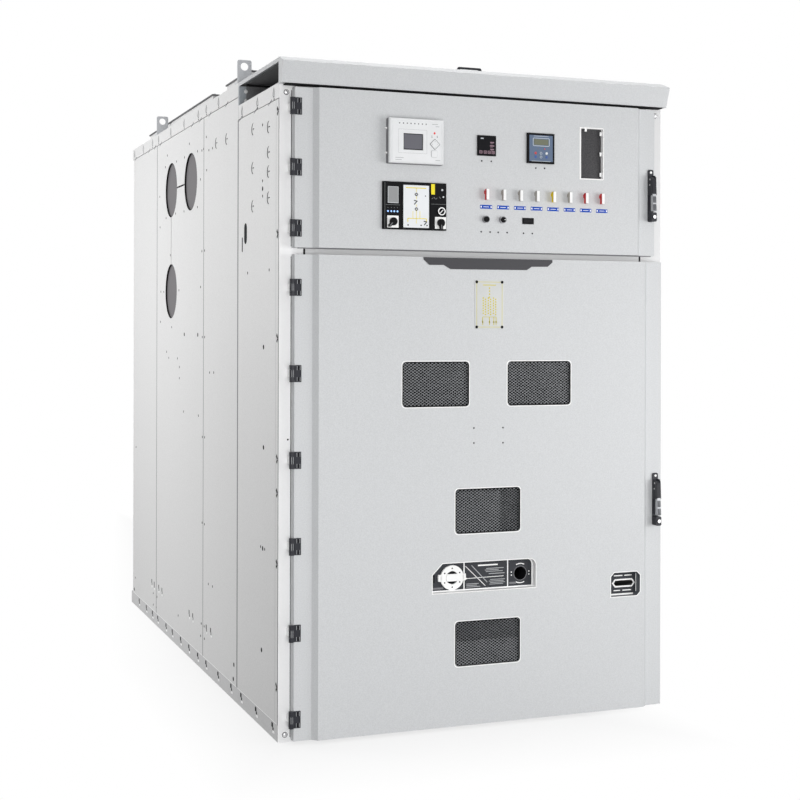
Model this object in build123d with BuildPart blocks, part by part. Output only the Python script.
from build123d import *
import os

os.makedirs("parts", exist_ok=True)

# Metal-clad switchgear cabinet. The front faces -Y and the origin is on the floor
# under the middle of the cabinet body. Lengths are in millimetres.

# Cabinet body
width = 1660
depth = 3050
height = 2600
sheet = 2
seam_gap = 3
overrun = 10
running_gap = 0.3

# Side sections, counted from the front
front_section = 620
breaker_section = 626
busbar_section = 1076

# Rails along the floor and the roof, folded inwards like the side panels
base_rail_height = 65
top_rail_height = 58
fold_width = 50
floor_thickness = 3

# Front frame
post_width = 98
post_lip = 20
middle_rail_height = 60
instrument_section_height = 737

# Wiring opening under the instrument roof
roof_skirt = 16
wiring_opening_height = 80
wiring_strip_height = 58
upright_width = 13

# Fascia under the roof edge
fascia_height = 103
fascia_bottom_reach = 40
fascia_top_reach = 68
fascia_lip_height = 24
fascia_side_reach = 4

# Busbar holes in the sides, joined by slits
bus_hole_radius = 137
bus_hole_front_margin = 275
bus_hole_spacing = 444
bus_hole_drop = 512
bus_hole_top_margin = 327
slit_width = 8
bus_cover_size = 330
bus_cover_dish = 8
bus_cover_lap = 6

# Cable knock-outs, an oval slot and a slit in the side panels, as shares of the panel
knock_out_radius = 24
knock_out_shift = 9
knock_out_centre_radius = 5
front_knock_out_shares = (
    (0.240, 0.962), (0.240, 0.921), (0.240, 0.889), (0.240, 0.846),
    (0.617, 0.971), (0.617, 0.905), (0.617, 0.840),
)
breaker_knock_out_shares = ((0.315, 0.939), (0.615, 0.941))
oval_share = (0.802, 0.797)
oval_length = 79
oval_width = 32
oval_slit_share = (0.886, 0.779)
oval_slit_length = 58
oval_slit_width = 9

# Roof fittings
relief_inset = 72
relief_height = 66
relief_lid_thickness = 6
relief_lid_overhang = 6
breaker_relief_start = 84
breaker_relief_length = 396
rear_relief_length = 1510
rear_relief_start = 124
lug_width = 60
lug_height = 100
lug_thickness = 8
lug_foot = 50
lug_setback = 12
lug_corner_radius = 8
lug_hole_radius = 17
lug_hole_height = 73
roof_handle_width = 130
roof_handle_height = 32
roof_handle_bar = 8
roof_handle_slant = 16
roof_handle_foot = 16
roof_handle_setback = 102

# Rear covers
rear_cover_depth = 20
rear_cover_margin = 16
rear_cover_split_z = 1300
rear_cover_gap = 10
rear_flange_thickness = 6
rear_flange_width = 60
rear_joggle = 8
rear_joggle_length = 40

# Doors: a pan with folded edges and a raised field
door_edge_depth = 42
door_frame_gap = 3
door_left_inset = 48
upper_door_right_inset = 56
lower_door_right_inset = 22
lower_door_bottom_z = 12
door_split = 26
fascia_door_gap = 15
stile_width = 70
field_rise = 20

# Hinges: two knuckles on the door leaf, one on the frame bracket
hinge_height = 64
hinge_pin_radius = 4
knuckle_radius = 10
knuckle_gap = 0.5
frame_knuckle_height = 30
hinge_leaf_width = 26
hinge_leaf_thickness = 5
hinge_axis_offset = 11
hinge_bracket_thickness = 8
upper_hinge_shares = (0.12, 0.50, 0.88)
lower_hinge_shares = (0.045, 0.222, 0.400, 0.577, 0.755, 0.932)

# Swing handles: a plate with two cheeks and a lock, and a lever between the cheeks
handle_width = 24
handle_length = 216
handle_plate_thickness = 7
upper_handle_inset = 20
lower_handle_inset = 29
cheek_thickness = 3.5
cheek_drop = 25
cheek_length = 82
cheek_top_reach = 14
cheek_reach = 22
cheek_low_reach = 26
lever_gap = 0.5
lever_pivot_drop = 41
lever_pivot_radius = 8
lever_pin_radius = 3
lever_standoff = 13
lever_length = 132
lever_top_rise = 10
lever_top_reach = 24
lever_low_reach = 33
lever_back_gap = 5
grip_gap = 14
lock_height = 38
lock_depth = 28
lock_barrel_radius = 8
lock_barrel_rise = 3
upper_handle_share = 0.41
lower_handle_share = 0.465

# Windows in the breaker door
window_width = 282
window_height = 177
window_corner_radius = 18
window_lap = 16
glass_thickness = 6
screen_thickness = 2
window_shares = ((0.358, 0.730), (0.640, 0.730), (0.499, 0.458), (0.499, 0.175))

# Trays sunk into the breaker door: one for racking, one for earthing
tray_depth = 28
tray_floor = 4
tray_flange = 12
racking_width = 446
racking_height = 114
racking_chamfer = 40
racking_corner_radius = 26
racking_share = (0.4905, 0.317)
racking_axis_drop = 3
racking_hole_radius = 27
racking_hole_offset = 168
ring_offset = 131
ring_radius = 48
ring_bore_radius = 26
ring_thickness = 8
ring_ear_reach = 58
ring_ear_height = 26
knob_gap = 0.6
knob_disc_thickness = 3
knob_bar_width = 28
knob_bar_rise = 7
knob_spindle_radius = 8
knob_spindle_tail = 8
slot_tray_width = 136
slot_tray_height = 98
slot_tray_chamfer = 15
slot_tray_share = (0.889, 0.2785)
slot_offset = 6
slot_length = 96
slot_width = 22
slot_tip = 11

# Instruments on the upper door, placed as shares of the door's width and height
bezel_edge = 3
face_sink = 2
relay_width = 226
relay_height = 172
relay_depth = 35
relay_share = (0.304, 0.688)
relay_edge = 4
relay_rim = 8
relay_groove = 3
relay_screen_width = 82
relay_screen_height = 64
relay_screen_share = (0.436, 0.480)
relay_pad_side = 27
relay_pad_share = (0.828, 0.448)
relay_key_size = 25
relay_key_radius = 5
relay_key_share = (0.820, 0.232)
relay_key_rise = 2
indicator_width = 265
indicator_height = 184
indicator_depth = 12
indicator_share = (0.305, 0.279)
indicator_screen_width = 44
indicator_screen_height = 66
indicator_screen_share = (0.160, 0.715)
mimic_width = 108
mimic_height = 165
mimic_share = (0.521, 0.490)
module_seam = 2
module_seam_shares = (0.288, 0.745)
key_switch_radius = 16
key_switch_rise = 6
key_switch_share = (0.914, 0.405)
cam_shares = ((0.151, 0.158), (0.898, 0.158))
cam_turns = {"left": 225, "right": 270}
cam_plate_size = 46
cam_plate_thickness = 4
cam_knob_radius = 15
cam_knob_height = 10
cam_pointer_reach = 22
cam_pointer_width = 11
cam_pointer_height = 12
cam_spindle_radius = 4
small_meter_size = 80
small_meter_depth = 9
small_meter_share = (0.502, 0.690)
small_meter_rim = 4
power_meter_size = 121
power_meter_depth = 11
power_meter_share = (0.654, 0.690)
power_meter_rim = 8
cutout_width = 101
cutout_height = 205
cutout_share = (0.805, 0.675)
link_width = 11
link_height = 42
link_depth = 26
link_standoff = 8
link_foot_height = 13
link_foot_drop = 5
link_face_thickness = 3
link_pitch = 73.4
link_share = (0.500, 0.371)
bezel_radius = 14
bezel_bore_radius = 11.5
bezel_depth = 12
cap_radius = 11
cap_back_gap = 6
cap_rise = 6
selector_pointer_width = 8
selector_pointer_rise = 8
button_share = (0.500, 0.210)
counter_width = 50
counter_height = 25
counter_depth = 5
counter_rim = 4
counter_share = (0.620, 0.208)

# Places worked out from the sizes above
side_x = width / 2
front_y = -depth / 2
frame_rear_y = depth / 2 - rear_cover_depth
seam_1 = front_y + front_section
seam_2 = seam_1 + breaker_section
seam_3 = seam_2 + busbar_section
panel_high_z = height - top_rail_height - seam_gap
wiring_high_z = height - roof_skirt
wiring_low_z = wiring_high_z - wiring_opening_height
strip_low_z = wiring_low_z - wiring_strip_height
inner_x = side_x - fold_width
opening_x = side_x - post_width
middle_rail_middle_z = height - instrument_section_height
middle_rail_top_z = middle_rail_middle_z + middle_rail_height / 2
middle_rail_low_z = middle_rail_middle_z - middle_rail_height / 2
fascia_low_z = height - fascia_height
lower_door_top_z = middle_rail_middle_z - door_split / 2
upper_door_bottom_z = middle_rail_middle_z + door_split / 2
upper_door_top_z = fascia_low_z - fascia_door_gap
door_back_y = front_y - door_frame_gap
stile_y = door_back_y - door_edge_depth
field_y = stile_y - field_rise
door_left_x = -side_x + door_left_inset
upper_door_right_x = side_x - upper_door_right_inset
lower_door_right_x = side_x - lower_door_right_inset
hinge_x = door_left_x - hinge_axis_offset
hinge_y = stile_y - hinge_leaf_thickness


def save(piece, node):
    piece.part.label = node
    export_step(piece.part, f"parts/{node}.step")


def front_plane(y):
    return Plane.XZ.offset(-y)


def block(low, high, mode=Mode.ADD):
    middle = tuple((a + b) / 2 for a, b in zip(low, high))
    sides = [b - a for a, b in zip(low, high)]
    with Locations(middle):
        Box(*sides, mode=mode)


def folded(points, plane):
    with BuildSketch(plane) as section:
        with BuildLine():
            Polyline(*points)
            offset(amount=sheet, side=Side.LEFT, kind=Kind.INTERSECTION, mode=Mode.REPLACE)
        make_face()
    return section.sketch


def outlined(points, plane):
    with BuildSketch(plane) as face:
        with BuildLine():
            Polyline(*points, close=True)
        make_face()
    return face.sketch


def door_rectangle(place, size, y, radius=0):
    with BuildSketch(front_plane(y)) as face:
        with Locations(place):
            if radius:
                RectangleRounded(*size, radius)
            else:
                Rectangle(*size)
    return face.sketch


def save_mirrored(piece, node):
    with BuildPart() as twin:
        mirror(piece.part, about=Plane.YZ)
    save(twin, node)


# Floor plate and base rails
with BuildPart() as floor_plate:
    block(
        (-side_x + fold_width, front_y + fold_width, 0),
        (side_x - fold_width, frame_rear_y - fold_width, floor_thickness),
    )
save(floor_plate, "floor_plate")


def long_rail(z_low, z_high, y_low, y_high):
    outline = [
        (-side_x + fold_width, z_high),
        (-side_x, z_high),
        (-side_x, z_low),
        (-side_x + fold_width, z_low),
    ]
    with BuildPart() as rail:
        extrude(folded(outline, front_plane(y_low)), amount=y_low - y_high)
    return rail


left_base_rail = long_rail(0, base_rail_height, front_y + sheet, frame_rear_y)
with BuildPart() as base_rails:
    add(left_base_rail.part)
    mirror(about=Plane.YZ)
save(base_rails, "base_rails")


def cross_rail(y_face, y_inner, z_low, z_high, half_length):
    lower_first = [(y_inner, z_low), (y_face, z_low), (y_face, z_high), (y_inner, z_high)]
    outline = lower_first if y_face > y_inner else lower_first[::-1]
    with BuildPart() as rail:
        extrude(folded(outline, Plane.YZ.offset(-half_length)), amount=2 * half_length)
    return rail


front_sill = cross_rail(front_y, front_y + fold_width, 0, base_rail_height, opening_x)
rear_sill = cross_rail(
    frame_rear_y, frame_rear_y - fold_width, 0, base_rail_height, side_x - fold_width
)
with BuildPart() as sills:
    add(front_sill.part)
    add(rear_sill.part)
save(sills, "sills")

# Front frame: posts, middle rail and head rail
post_outline = [
    (-side_x, front_y),
    (-opening_x, front_y),
    (-opening_x, front_y + fold_width),
    (-opening_x - post_lip, front_y + fold_width),
]
with BuildPart() as left_post:
    extrude(folded(post_outline, Plane.XY), amount=wiring_high_z)
save(left_post, "left_post")
save_mirrored(left_post, "right_post")

middle_rail = cross_rail(
    front_y, front_y + fold_width, middle_rail_low_z, middle_rail_top_z, opening_x
)
save(middle_rail, "middle_rail")
head_rail = cross_rail(
    front_y, front_y + fold_width, fascia_low_z - post_lip, wiring_high_z, opening_x
)
save(head_rail, "head_rail")


# Side panels, folded inwards along both upright edges
def side_panel(y_low, y_high, z_low, z_high):
    outline = [
        (-inner_x, y_high),
        (-side_x, y_high),
        (-side_x, y_low),
        (-inner_x, y_low),
    ]
    with BuildPart() as panel:
        extrude(folded(outline, Plane.XY.offset(z_low)), amount=z_high - z_low)
    return panel


def on_panel(share, y_low, y_high, z_low, z_high):
    return (y_low + share[0] * (y_high - y_low), z_low + share[1] * (z_high - z_low))


def knock_outs(places):
    with BuildSketch(Plane.YZ.offset(-side_x - overrun)) as slits:
        for y, z in places:
            with Locations((y, z)):
                Circle(knock_out_radius)
            with Locations((y - knock_out_shift, z)):
                Circle(knock_out_radius, mode=Mode.SUBTRACT)
        with Locations(*places):
            Circle(knock_out_centre_radius)
    return slits.sketch


half_gap = seam_gap / 2
front_span = (front_y + sheet, seam_1 - half_gap, base_rail_height, strip_low_z - seam_gap)
breaker_span = (seam_1 + half_gap, seam_2 - half_gap, base_rail_height, panel_high_z)
front_blank = side_panel(*front_span)
with BuildPart() as front_panel:
    add(front_blank.part)
    front_places = [on_panel(share, *front_span) for share in front_knock_out_shares]
    extrude(knock_outs(front_places), amount=2 * overrun, mode=Mode.SUBTRACT)
    with BuildSketch(Plane.YZ.offset(-side_x - overrun)):
        with Locations(on_panel(oval_share, *front_span)):
            SlotOverall(oval_length, oval_width, rotation=90)
        with Locations(on_panel(oval_slit_share, *front_span)):
            SlotOverall(oval_slit_length, oval_slit_width, rotation=90)
    extrude(amount=2 * overrun, mode=Mode.SUBTRACT)

breaker_blank = side_panel(*breaker_span)
with BuildPart() as breaker_panel:
    add(breaker_blank.part)
    breaker_places = [on_panel(share, *breaker_span) for share in breaker_knock_out_shares]
    extrude(knock_outs(breaker_places), amount=2 * overrun, mode=Mode.SUBTRACT)

# The cable panel steps inwards along its rear edge, under the rear cover
joggle_y = frame_rear_y - rear_joggle_length
joggle_x = side_x - rear_joggle
cable_outline = [
    (-inner_x, frame_rear_y),
    (-joggle_x, frame_rear_y),
    (-joggle_x, joggle_y),
    (-side_x, joggle_y),
    (-side_x, seam_3 + half_gap),
    (-inner_x, seam_3 + half_gap),
]
with BuildPart() as cable_panel:
    extrude(
        folded(cable_outline, Plane.XY.offset(base_rail_height)),
        amount=panel_high_z - base_rail_height,
    )

busbar_blank = side_panel(seam_2 + half_gap, seam_3 - half_gap, base_rail_height, panel_high_z)
bus_front_y = seam_2 + bus_hole_front_margin
bus_rear_y = bus_front_y + bus_hole_spacing
bus_high_z = height - bus_hole_top_margin
bus_low_z = bus_high_z - bus_hole_drop
bus_places = ((bus_front_y, bus_high_z), (bus_rear_y, bus_high_z), (bus_rear_y, bus_low_z))
with BuildPart() as busbar_panel:
    add(busbar_blank.part)
    with BuildSketch(Plane.YZ.offset(-side_x - overrun)):
        with Locations(*bus_places):
            Circle(bus_hole_radius)
        with Locations(((bus_front_y + bus_rear_y) / 2, bus_high_z)):
            Rectangle(bus_hole_spacing, slit_width)
        with Locations((bus_rear_y, (bus_high_z + bus_low_z) / 2)):
            Rectangle(slit_width, bus_hole_drop)
    extrude(amount=2 * overrun, mode=Mode.SUBTRACT)

for panel, place in (
    (front_panel, "front_panel"),
    (breaker_panel, "breaker_panel"),
    (busbar_panel, "busbar_panel"),
    (cable_panel, "cable_panel"),
):
    save(panel, f"left_{place}")
    save_mirrored(panel, f"right_{place}")

# Dished covers bolted behind the busbar holes until the next cabinet is joined on
dish_radius = bus_hole_radius + bus_cover_lap
with BuildPart() as bus_hole_covers:
    with BuildSketch(Plane.YZ.offset(-side_x + sheet)):
        with Locations(*bus_places):
            Rectangle(bus_cover_size, bus_cover_size)
    extrude(amount=sheet)
    with BuildSketch(Plane.YZ.offset(-side_x + sheet)):
        with Locations(*bus_places):
            Circle(dish_radius + sheet)
    extrude(amount=bus_cover_dish)
    with BuildSketch(Plane.YZ.offset(-side_x + sheet)):
        with Locations(*bus_places):
            Circle(dish_radius)
    extrude(amount=bus_cover_dish - sheet, mode=Mode.SUBTRACT)
    mirror(about=Plane.YZ)
save(bus_hole_covers, "bus_hole_covers")

# Top rails: the roof rail of the rear sections and the strip under the wiring opening
rear_rail = long_rail(panel_high_z + seam_gap, height, seam_1 + half_gap, frame_rear_y)
strip_outline = [
    (-inner_x, wiring_low_z),
    (-side_x, wiring_low_z),
    (-side_x, strip_low_z),
]
with BuildPart() as top_rails:
    add(rear_rail.part)
    extrude(
        folded(strip_outline, front_plane(front_y + sheet)),
        amount=sheet + half_gap - front_section,
    )
    mirror(about=Plane.YZ)
save(top_rails, "top_rails")

upright_outline = [
    (-side_x, seam_1 - half_gap),
    (-side_x, seam_1 - half_gap - upright_width),
    (-inner_x, seam_1 - half_gap - upright_width),
]
with BuildPart() as wiring_uprights:
    extrude(
        folded(upright_outline, Plane.XY.offset(wiring_low_z)),
        amount=wiring_opening_height,
    )
    mirror(about=Plane.YZ)
save(wiring_uprights, "wiring_uprights")

# Inner walls behind the two doors
with BuildPart() as instrument_shelf:
    block(
        (-opening_x, front_y, middle_rail_top_z),
        (opening_x, seam_1 - half_gap - sheet, middle_rail_top_z + sheet),
    )
save(instrument_shelf, "instrument_shelf")
with BuildPart() as instrument_back:
    block(
        (-inner_x, seam_1 - half_gap - sheet, middle_rail_top_z),
        (inner_x, seam_1 - half_gap, height - sheet),
    )
save(instrument_back, "instrument_back")
with BuildPart() as breaker_back:
    block(
        (-inner_x, seam_2 - half_gap - sheet, floor_thickness),
        (inner_x, seam_2 - half_gap, height - sheet),
    )
save(breaker_back, "breaker_back")

# Roof
roof_outline = [
    (side_x, wiring_high_z),
    (side_x, height),
    (-side_x, height),
    (-side_x, wiring_high_z),
]
with BuildPart() as instrument_roof:
    extrude(folded(roof_outline, front_plane(front_y)), amount=half_gap - front_section)
save(instrument_roof, "instrument_roof")
with BuildPart() as roof_plate:
    block(
        (-side_x + fold_width, seam_1 + half_gap, height - sheet),
        (side_x - fold_width, frame_rear_y, height),
    )
save(roof_plate, "roof_plate")


breaker_relief_y = seam_1 + breaker_relief_start
rear_relief_y = seam_2 + rear_relief_start
relief_spans = (
    (breaker_relief_y, breaker_relief_y + breaker_relief_length),
    (rear_relief_y, rear_relief_y + rear_relief_length),
)
relief_x = side_x - relief_inset
with BuildPart() as relief_covers:
    for y_low, y_high in relief_spans:
        block((-relief_x, y_low, height), (relief_x, y_high, height + relief_height))
        block(
            (-relief_x + sheet, y_low + sheet, height),
            (relief_x - sheet, y_high - sheet, height + relief_height - sheet),
            mode=Mode.SUBTRACT,
        )
save(relief_covers, "relief_covers")
lid_x = relief_x + relief_lid_overhang
with BuildPart() as relief_lids:
    for y_low, y_high in relief_spans:
        block(
            (-lid_x, y_low - relief_lid_overhang, height + relief_height),
            (lid_x, y_high + relief_lid_overhang, height + relief_height + relief_lid_thickness),
        )
save(relief_lids, "relief_lids")

# Lifting lugs: bent plates that stand on the roof rails
lug_places = (seam_1 + lug_setback, seam_3 + lug_setback)
with BuildPart() as lifting_lugs:
    for y in lug_places:
        with BuildSketch(front_plane(y)):
            with Locations((-side_x + lug_width / 2, height + lug_height / 2)):
                Rectangle(lug_width, lug_height)
        extrude(amount=-lug_thickness)
        block(
            (-side_x, y, height),
            (-side_x + lug_width, y + lug_foot, height + lug_thickness),
        )
    top_corners = lifting_lugs.edges().filter_by(Axis.Y).group_by(Axis.Z)[-1]
    fillet(top_corners, lug_corner_radius)
    for y in lug_places:
        with BuildSketch(front_plane(y - overrun)):
            with Locations((-side_x + lug_width / 2, height + lug_hole_height)):
                Circle(lug_hole_radius)
        extrude(amount=-lug_thickness - 2 * overrun, mode=Mode.SUBTRACT)
    mirror(about=Plane.YZ)
save(lifting_lugs, "lifting_lugs")

handle_half = roof_handle_width / 2
handle_top_z = height + roof_handle_height
handle_bow = [
    (-handle_half, height),
    (-handle_half + roof_handle_slant, handle_top_z),
    (handle_half - roof_handle_slant, handle_top_z),
    (handle_half, height),
    (handle_half - roof_handle_foot, height),
    (handle_half - roof_handle_slant - roof_handle_bar, handle_top_z - roof_handle_bar),
    (-handle_half + roof_handle_slant + roof_handle_bar, handle_top_z - roof_handle_bar),
    (-handle_half + roof_handle_foot, height),
]
with BuildPart() as roof_handle:
    extrude(outlined(handle_bow, front_plane(front_y + roof_handle_setback)), amount=-roof_handle_bar)
    bar_ends = roof_handle.edges().filter_by(Axis.Y).group_by(Axis.Z)[-1]
    fillet(bar_ends, roof_handle_bar / 2)
save(roof_handle, "roof_handle")

# Fascia: a hood over the upper door
fascia_outline = [
    (front_y, fascia_low_z),
    (front_y - fascia_bottom_reach, fascia_low_z),
    (front_y - fascia_top_reach, height - fascia_lip_height),
    (front_y - 2 * sheet, height),
    (front_y, height),
]
fascia_x = side_x + fascia_side_reach
with BuildPart() as fascia:
    extrude(folded(fascia_outline[::-1], Plane.YZ.offset(-fascia_x)), amount=2 * fascia_x)
    for x in (-fascia_x, fascia_x - sheet):
        extrude(outlined(fascia_outline, Plane.YZ.offset(x)), amount=sheet)
save(fascia, "fascia")


# Rear covers: a bolted flange all round a raised pan
def rear_cover(z_low, z_high):
    half = side_x - rear_cover_margin
    pan_half = half - rear_flange_width
    pan_low, pan_high = z_low + rear_flange_width, z_high - rear_flange_width
    with BuildPart() as cover:
        block((-half, frame_rear_y, z_low), (half, frame_rear_y + rear_flange_thickness, z_high))
        block((-pan_half, frame_rear_y, pan_low), (pan_half, depth / 2, pan_high))
        block(
            (-pan_half + sheet, frame_rear_y, pan_low + sheet),
            (pan_half - sheet, depth / 2 - sheet, pan_high - sheet),
            mode=Mode.SUBTRACT,
        )
    return cover


save(
    rear_cover(base_rail_height - rear_cover_margin, rear_cover_split_z - rear_cover_gap / 2),
    "rear_lower_cover",
)
save(
    rear_cover(rear_cover_split_z + rear_cover_gap / 2, height - rear_cover_margin),
    "rear_upper_cover",
)


# Doors
def door_pan(x_low, x_high, z_low, z_high):
    outline = [
        (x_low, door_back_y),
        (x_low, stile_y),
        (x_low + stile_width, stile_y),
        (x_low + stile_width + field_rise, field_y),
        (x_high - stile_width - field_rise, field_y),
        (x_high - stile_width, stile_y),
        (x_high, stile_y),
        (x_high, door_back_y),
    ]
    with BuildPart() as pan:
        extrude(folded(outline, Plane.XY.offset(z_low)), amount=z_high - z_low)
        for z in (z_low, z_high - sheet):
            extrude(outlined(outline, Plane.XY.offset(z)), amount=sheet)
    return pan


upper_door_width = upper_door_right_x - door_left_x
upper_door_height = upper_door_top_z - upper_door_bottom_z
lower_door_width = lower_door_right_x - door_left_x
lower_door_height = lower_door_top_z - lower_door_bottom_z


def on_upper_door(share):
    x = door_left_x + share[0] * upper_door_width
    z = upper_door_bottom_z + share[1] * upper_door_height
    return (x, z)


def on_lower_door(share):
    x = door_left_x + share[0] * lower_door_width
    z = lower_door_bottom_z + share[1] * lower_door_height
    return (x, z)


upper_pan = door_pan(door_left_x, upper_door_right_x, upper_door_bottom_z, upper_door_top_z)
with BuildPart() as instrument_door:
    add(upper_pan.part)
    with BuildSketch(front_plane(field_y - overrun)):
        with Locations(on_upper_door(cutout_share)):
            Rectangle(cutout_width, cutout_height)
    extrude(amount=-sheet - 2 * overrun, mode=Mode.SUBTRACT)
save(instrument_door, "instrument_door")

racking_x, racking_z = on_lower_door(racking_share)
racking_left = racking_x - racking_width / 2
racking_right = racking_x + racking_width / 2
racking_low = racking_z - racking_height / 2
racking_top = racking_z + racking_height / 2
racking_outline = [
    (racking_left, racking_low),
    (racking_right, racking_low),
    (racking_right, racking_top),
    (racking_left + racking_chamfer, racking_top),
    (racking_left, racking_top - racking_chamfer),
]
slot_x, slot_z = on_lower_door(slot_tray_share)
slot_left = slot_x - slot_tray_width / 2
slot_right = slot_x + slot_tray_width / 2
slot_low = slot_z - slot_tray_height / 2
slot_top = slot_z + slot_tray_height / 2
slot_outline = [
    (slot_left, slot_low),
    (slot_right - slot_tray_chamfer, slot_low),
    (slot_right, slot_low + slot_tray_chamfer),
    (slot_right, slot_top - slot_tray_chamfer),
    (slot_right - slot_tray_chamfer, slot_top),
    (slot_left + slot_tray_chamfer, slot_top),
    (slot_left, slot_top - slot_tray_chamfer),
]


def tray_face(points, y, corner_radius=0, grow=0):
    with BuildSketch(front_plane(y)) as face:
        with BuildLine():
            Polyline(*points, close=True)
        make_face()
        if corner_radius:
            fillet(face.vertices().group_by(Axis.X)[-1].sort_by(Axis.Y)[-1], corner_radius)
        if grow:
            offset(amount=grow, kind=Kind.INTERSECTION, mode=Mode.REPLACE)
    return face.sketch


lower_pan = door_pan(door_left_x, lower_door_right_x, lower_door_bottom_z, lower_door_top_z)
window_places = [on_lower_door(share) for share in window_shares]
with BuildPart() as breaker_door:
    add(lower_pan.part)
    with BuildSketch(front_plane(field_y - overrun)):
        with Locations(*window_places):
            RectangleRounded(window_width, window_height, window_corner_radius)
    extrude(amount=-sheet - 2 * overrun, mode=Mode.SUBTRACT)
    for points, corner_radius in ((racking_outline, racking_corner_radius), (slot_outline, 0)):
        extrude(
            tray_face(points, field_y - overrun, corner_radius),
            amount=-sheet - 2 * overrun,
            mode=Mode.SUBTRACT,
        )
save(breaker_door, "breaker_door")

# Window glass laid behind the field, with a perforated screen behind the glass
glass_y = field_y + sheet
with BuildPart() as window_glass:
    with BuildSketch(front_plane(glass_y)):
        with Locations(*window_places):
            Rectangle(window_width + 2 * window_lap, window_height + 2 * window_lap)
    extrude(amount=-glass_thickness)
save(window_glass, "window_glass")
with BuildPart() as window_screens:
    with BuildSketch(front_plane(glass_y + glass_thickness)):
        with Locations(*window_places):
            Rectangle(window_width + 2 * window_lap, window_height + 2 * window_lap)
    extrude(amount=-screen_thickness)
save(window_screens, "window_screens")


# Hinges
def hinge_heights(shares, z_low, z_high):
    return [z_low + share * (z_high - z_low) for share in shares]


upper_hinges = hinge_heights(upper_hinge_shares, upper_door_bottom_z, upper_door_top_z)
lower_hinges = hinge_heights(lower_hinge_shares, lower_door_bottom_z, lower_door_top_z)
with BuildPart() as frame_knuckles:
    for z in upper_hinges + lower_hinges:
        with Locations((hinge_x, hinge_y, z)):
            Cylinder(knuckle_radius, frame_knuckle_height)
            Cylinder(hinge_pin_radius, hinge_height)
save(frame_knuckles, "frame_knuckles")
with BuildPart() as hinge_brackets:
    for z in upper_hinges + lower_hinges:
        block(
            (hinge_x - hinge_bracket_thickness / 2, hinge_y, z - frame_knuckle_height / 2),
            (hinge_x + hinge_bracket_thickness / 2, front_y, z + frame_knuckle_height / 2),
        )
        with Locations((hinge_x, hinge_y, z)):
            Cylinder(knuckle_radius, frame_knuckle_height, mode=Mode.SUBTRACT)
save(hinge_brackets, "hinge_brackets")


def hinge_leaves(heights):
    with BuildPart() as leaves:
        for z in heights:
            block(
                (hinge_x, stile_y - hinge_leaf_thickness, z - hinge_height / 2),
                (door_left_x + hinge_leaf_width, stile_y, z + hinge_height / 2),
            )
            with Locations((hinge_x, hinge_y, z)):
                Cylinder(knuckle_radius, hinge_height)
            with Locations((hinge_x, hinge_y, z)):
                Cylinder(
                    knuckle_radius + running_gap + knuckle_gap,
                    frame_knuckle_height + 2 * knuckle_gap,
                    mode=Mode.SUBTRACT,
                )
                Cylinder(hinge_pin_radius + running_gap, hinge_height, mode=Mode.SUBTRACT)
    return leaves


save(hinge_leaves(upper_hinges), "instrument_door_hinges")
save(hinge_leaves(lower_hinges), "breaker_door_hinges")


# Swing handles
handle_face_y = stile_y - handle_plate_thickness
lever_width = handle_width - 2 * (cheek_thickness + lever_gap)


def handle_base(x, z):
    top_z = z + handle_length / 2
    low_z = z - handle_length / 2
    cheek_top_z = top_z - cheek_drop
    cheek_low_z = cheek_top_z - cheek_length
    cheek_outline = [
        (handle_face_y, cheek_top_z),
        (handle_face_y - cheek_top_reach, cheek_top_z),
        (handle_face_y - cheek_reach, cheek_top_z - lever_top_rise),
        (handle_face_y - cheek_low_reach, cheek_low_z),
        (handle_face_y, cheek_low_z),
    ]
    lock_place = (x, low_z + lock_height / 2)
    with BuildPart() as base:
        extrude(
            door_rectangle((x, z), (handle_width, handle_length), stile_y, handle_width / 4),
            amount=handle_plate_thickness,
        )
        for x_low in (x - handle_width / 2, x + handle_width / 2 - cheek_thickness):
            extrude(outlined(cheek_outline, Plane.YZ.offset(x_low)), amount=cheek_thickness)
        extrude(
            door_rectangle(lock_place, (handle_width, lock_height), handle_face_y, handle_width / 4),
            amount=lock_depth,
        )
        with BuildSketch(front_plane(handle_face_y - lock_depth)):
            with Locations(lock_place):
                Circle(lock_barrel_radius)
        extrude(amount=lock_barrel_rise)
        with Locations((x, handle_face_y - lever_standoff, top_z - lever_pivot_drop)):
            Cylinder(
                lever_pin_radius + running_gap, handle_width, rotation=(0, 90, 0), mode=Mode.SUBTRACT
            )
    return base


def handle_lever(x, z):
    pivot_z = z + handle_length / 2 - lever_pivot_drop
    pivot = (handle_face_y - lever_standoff, pivot_z)
    cheek_low_z = z + handle_length / 2 - cheek_drop - cheek_length
    lever_low_z = pivot_z - lever_length
    lever_outline = [
        (handle_face_y - lever_back_gap, pivot_z),
        (handle_face_y - lever_back_gap, cheek_low_z + grip_gap),
        (handle_face_y - grip_gap, cheek_low_z),
        (handle_face_y - grip_gap, lever_low_z),
        (handle_face_y - lever_low_reach, lever_low_z),
        (handle_face_y - lever_top_reach, pivot_z),
        (handle_face_y - lever_standoff, pivot_z + lever_top_rise),
    ]
    with BuildPart() as lever:
        extrude(
            outlined(lever_outline, Plane.YZ.offset(x - lever_width / 2)), amount=lever_width
        )
        grip_end = lever.edges().filter_by(Axis.X).group_by(Axis.Z)[0]
        fillet(grip_end, lever_pivot_radius / 2)
        with BuildSketch(Plane.YZ.offset(x - lever_width / 2)):
            with Locations(pivot):
                Circle(lever_pivot_radius)
        extrude(amount=lever_width)
        with Locations((x, *pivot)):
            Cylinder(lever_pin_radius, handle_width, rotation=(0, 90, 0))
    return lever


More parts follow.
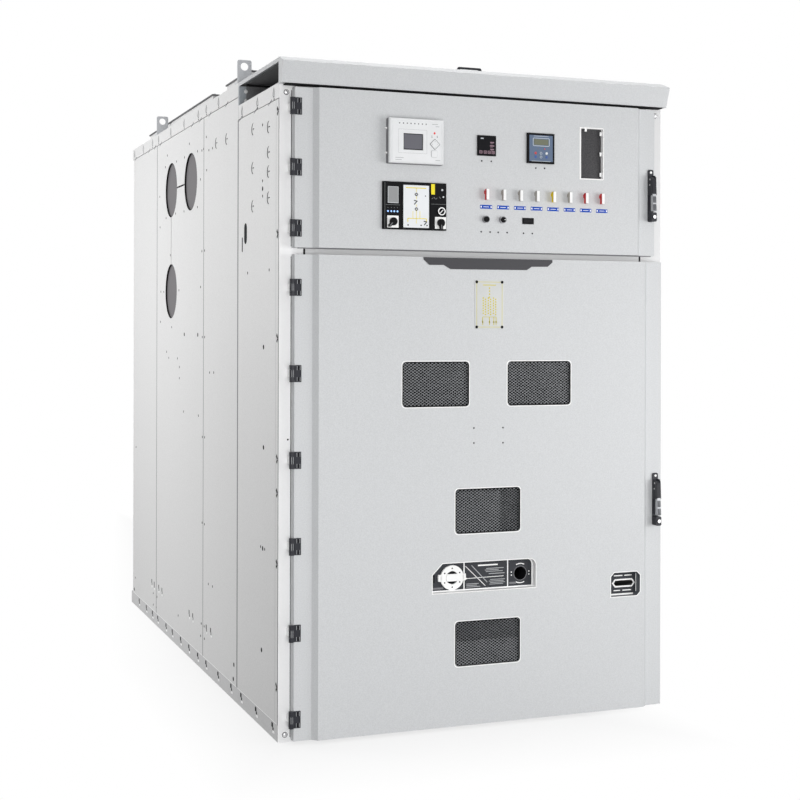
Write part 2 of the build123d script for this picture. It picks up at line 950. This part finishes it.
upper_handle = (upper_door_right_x - upper_handle_inset, on_upper_door((0, upper_handle_share))[1])
lower_handle = (lower_door_right_x - lower_handle_inset, on_lower_door((0, lower_handle_share))[1])
save(handle_base(*upper_handle), "instrument_handle_base")
save(handle_lever(*upper_handle), "instrument_handle_lever")
save(handle_base(*lower_handle), "breaker_handle_base")
save(handle_lever(*lower_handle), "breaker_handle_lever")

# Trays sunk behind their openings in the breaker door
tray_back_y = field_y + sheet
tray_floor_y = tray_back_y + tray_depth


def tray(points, corner_radius=0):
    with BuildPart() as pan:
        extrude(tray_face(points, tray_back_y, corner_radius, tray_flange), amount=-sheet)
        extrude(
            tray_face(points, tray_back_y, corner_radius, sheet), amount=-tray_depth - tray_floor
        )
        extrude(
            tray_face(points, tray_back_y, corner_radius), amount=-tray_depth, mode=Mode.SUBTRACT
        )
    return pan


racking_axis_z = racking_z - racking_axis_drop
ring_place = (racking_x - ring_offset, racking_axis_z)
hole_place = (racking_x + racking_hole_offset, racking_axis_z)
racking_tray = tray(racking_outline, racking_corner_radius)
with BuildPart() as racking_plate:
    add(racking_tray.part)
    with BuildSketch(front_plane(tray_floor_y)):
        with Locations(ring_place):
            Circle(ring_radius)
            Rectangle(2 * ring_ear_reach, ring_ear_height)
            Circle(ring_bore_radius, mode=Mode.SUBTRACT)
    extrude(amount=ring_thickness)
    with BuildSketch(front_plane(tray_floor_y)):
        with Locations(hole_place):
            Circle(racking_hole_radius)
        with Locations(ring_place):
            Circle(knob_spindle_radius + running_gap)
    extrude(amount=-tray_floor, mode=Mode.SUBTRACT)
save(racking_plate, "racking_plate")

knob_radius = ring_bore_radius - knob_gap
knob_back_y = tray_floor_y - running_gap
with BuildPart() as interlock_knob:
    with BuildSketch(front_plane(knob_back_y)):
        with Locations(ring_place):
            Circle(knob_radius)
    extrude(amount=knob_disc_thickness)
    with BuildSketch(front_plane(knob_back_y - knob_disc_thickness)):
        with Locations(ring_place):
            Circle(knob_radius)
            Rectangle(2 * knob_radius, knob_bar_width, mode=Mode.INTERSECT)
    extrude(amount=knob_bar_rise)
    with BuildSketch(front_plane(knob_back_y)):
        with Locations(ring_place):
            Circle(knob_spindle_radius)
    extrude(amount=-running_gap - tray_floor - knob_spindle_tail)
save(interlock_knob, "interlock_knob")

slot_middle_x = slot_x + slot_offset
slot_hole = [
    (slot_middle_x - slot_length / 2, slot_z),
    (slot_middle_x - slot_length / 2 + slot_tip, slot_z - slot_width / 2),
    (slot_middle_x + slot_length / 2 - slot_tip, slot_z - slot_width / 2),
    (slot_middle_x + slot_length / 2, slot_z),
    (slot_middle_x + slot_length / 2 - slot_tip, slot_z + slot_width / 2),
    (slot_middle_x - slot_length / 2 + slot_tip, slot_z + slot_width / 2),
]
slot_tray = tray(slot_outline)
with BuildPart() as slot_plate:
    add(slot_tray.part)
    extrude(
        outlined(slot_hole, front_plane(tray_floor_y)), amount=-tray_floor, mode=Mode.SUBTRACT
    )
save(slot_plate, "earthing_slot_plate")


# Instruments on the upper door
def instrument(place, size, proud, edge):
    with BuildPart() as case:
        extrude(door_rectangle(place, size, field_y), amount=proud)
        chamfer(case.faces().sort_by(Axis.Y)[0].edges(), edge)
    return case


def on_face(place, size, share):
    return tuple(middle + (part - 0.5) * length for middle, length, part in zip(place, size, share))


def inset(size, rim):
    return tuple(length - 2 * rim for length in size)


relay_place = on_upper_door(relay_share)
relay_size = (relay_width, relay_height)
relay_face_y = field_y - relay_depth
relay_case = instrument(relay_place, relay_size, relay_depth, relay_edge)
with BuildPart() as protection_relay:
    add(relay_case.part)
    with BuildSketch(front_plane(relay_face_y)):
        with Locations(relay_place):
            Rectangle(*inset(relay_size, relay_rim))
            Rectangle(*inset(relay_size, relay_rim + relay_groove), mode=Mode.SUBTRACT)
        with Locations(on_face(relay_place, relay_size, relay_screen_share)):
            Rectangle(relay_screen_width, relay_screen_height)
    extrude(amount=-face_sink, mode=Mode.SUBTRACT)
    with BuildSketch(front_plane(relay_face_y)):
        with Locations(on_face(relay_place, relay_size, relay_pad_share)):
            Rectangle(relay_pad_side, relay_pad_side, rotation=45)
        with Locations(on_face(relay_place, relay_size, relay_key_share)):
            RectangleRounded(relay_key_size, relay_key_size, relay_key_radius)
    extrude(amount=relay_key_rise)
save(protection_relay, "protection_relay")

indicator_place = on_upper_door(indicator_share)
indicator_size = (indicator_width, indicator_height)
indicator_face_y = field_y - indicator_depth
cam_places = [on_face(indicator_place, indicator_size, share) for share in cam_shares]
indicator_case = instrument(indicator_place, indicator_size, indicator_depth, bezel_edge)
with BuildPart() as indicator_panel:
    add(indicator_case.part)
    with BuildSketch(front_plane(indicator_face_y)):
        with Locations(on_face(indicator_place, indicator_size, indicator_screen_share)):
            Rectangle(indicator_screen_width, indicator_screen_height)
        with Locations(on_face(indicator_place, indicator_size, mimic_share)):
            Rectangle(mimic_width, mimic_height)
        for seam_share in module_seam_shares:
            with Locations(on_face(indicator_place, indicator_size, (seam_share, 0.5))):
                Rectangle(module_seam, indicator_height)
    extrude(amount=-face_sink, mode=Mode.SUBTRACT)
    with BuildSketch(front_plane(indicator_face_y)):
        with Locations(on_face(indicator_place, indicator_size, key_switch_share)):
            Circle(key_switch_radius)
    extrude(amount=key_switch_rise)
    with BuildSketch(front_plane(indicator_face_y)):
        with Locations(*cam_places):
            Circle(cam_spindle_radius + running_gap)
    extrude(amount=-indicator_depth, mode=Mode.SUBTRACT)
save(indicator_panel, "indicator_panel")

with BuildPart() as cam_plates:
    with BuildSketch(front_plane(indicator_face_y)):
        with Locations(*cam_places):
            Rectangle(cam_plate_size, cam_plate_size)
            Circle(cam_spindle_radius + running_gap, mode=Mode.SUBTRACT)
    extrude(amount=cam_plate_thickness)
save(cam_plates, "cam_plates")

cam_knob_y = indicator_face_y - cam_plate_thickness - running_gap
for place, (side, turn) in zip(cam_places, cam_turns.items()):
    with BuildPart() as cam_knob:
        with BuildSketch(front_plane(cam_knob_y)):
            with Locations(place):
                Circle(cam_knob_radius)
        extrude(amount=cam_knob_height)
        with BuildSketch(front_plane(cam_knob_y)):
            with Locations(Location((*place, 0), (0, 0, turn))):
                with Locations((cam_pointer_reach / 2, 0)):
                    SlotOverall(cam_pointer_reach + cam_pointer_width, cam_pointer_width)
        extrude(amount=cam_pointer_height)
        with BuildSketch(front_plane(cam_knob_y)):
            with Locations(place):
                Circle(cam_spindle_radius)
        extrude(amount=-indicator_depth)
    save(cam_knob, f"{side}_cam_knob")


def sunk_face_instrument(share, size, proud, rim):
    place = on_upper_door(share)
    case = instrument(place, size, proud, bezel_edge)
    with BuildPart() as meter:
        add(case.part)
        extrude(
            door_rectangle(place, inset(size, rim), field_y - proud),
            amount=-face_sink,
            mode=Mode.SUBTRACT,
        )
    return meter


small_meter = sunk_face_instrument(
    small_meter_share, (small_meter_size, small_meter_size), small_meter_depth, small_meter_rim
)
save(small_meter, "small_meter")
power_meter = sunk_face_instrument(
    power_meter_share, (power_meter_size, power_meter_size), power_meter_depth, power_meter_rim
)
save(power_meter, "power_meter")
counter = sunk_face_instrument(
    counter_share, (counter_width, counter_height), counter_depth, counter_rim
)
save(counter, "counter")

# Test links: coloured bars on a foot, each with a white face
link_x, link_z = on_upper_door(link_share)
link_colours = ("red", "grey", "grey", "grey", "yellow", "grey", "red", "red")
link_places = [(link_x + number * link_pitch, link_z) for number in range(len(link_colours))]
link_bar_y = field_y - link_depth + link_face_thickness
link_back_y = field_y - link_standoff
link_top_z = link_z + link_height / 2
link_low_z = link_z - link_height / 2
foot_top_z = link_top_z - link_foot_drop
link_outline = [
    (link_bar_y, link_low_z),
    (link_back_y, link_low_z),
    (link_back_y, foot_top_z - link_foot_height),
    (field_y, foot_top_z - link_foot_height),
    (field_y, foot_top_z),
    (link_back_y, foot_top_z),
    (link_back_y, link_top_z),
    (link_bar_y, link_top_z),
]
with BuildPart() as link_bodies:
    with BuildSketch(front_plane(link_bar_y)):
        with Locations(*link_places):
            Rectangle(link_width, link_height)
    extrude(amount=link_face_thickness)
save(link_bodies, "link_bodies")
for colour in ("red", "grey", "yellow"):
    with BuildPart() as link_tabs:
        for (x, _), own in zip(link_places, link_colours):
            if own == colour:
                extrude(outlined(link_outline, Plane.YZ.offset(x - link_width / 2)), amount=link_width)
    save(link_tabs, f"{colour}_link_tabs")

# Push button and selector in their bezels
button_place = on_upper_door(button_share)
selector_place = (button_place[0] + link_pitch, button_place[1])
with BuildPart() as control_buttons:
    with BuildSketch(front_plane(field_y)):
        with Locations(button_place, selector_place):
            Circle(bezel_radius)
            Circle(bezel_bore_radius, mode=Mode.SUBTRACT)
    extrude(amount=bezel_depth)
save(control_buttons, "control_buttons")


def button_cap(place):
    with BuildSketch(front_plane(field_y - cap_back_gap)) as disc:
        with Locations(place):
            Circle(cap_radius)
    return disc.sketch


cap_depth = bezel_depth - cap_back_gap + cap_rise
with BuildPart() as push_button:
    extrude(button_cap(button_place), amount=cap_depth)
    chamfer(push_button.faces().sort_by(Axis.Y)[0].edges(), cap_rise / 4)
save(push_button, "push_button")
with BuildPart() as selector_knob:
    extrude(button_cap(selector_place), amount=bezel_depth - cap_back_gap)
    with BuildSketch(front_plane(field_y - bezel_depth)) as pointer:
        with Locations(selector_place):
            Rectangle(2 * cap_radius - selector_pointer_width / 2, selector_pointer_width)
        chamfer(pointer.vertices().group_by(Axis.X)[-1], selector_pointer_width / 3)
    extrude(amount=selector_pointer_rise)
save(selector_knob, "selector_knob")
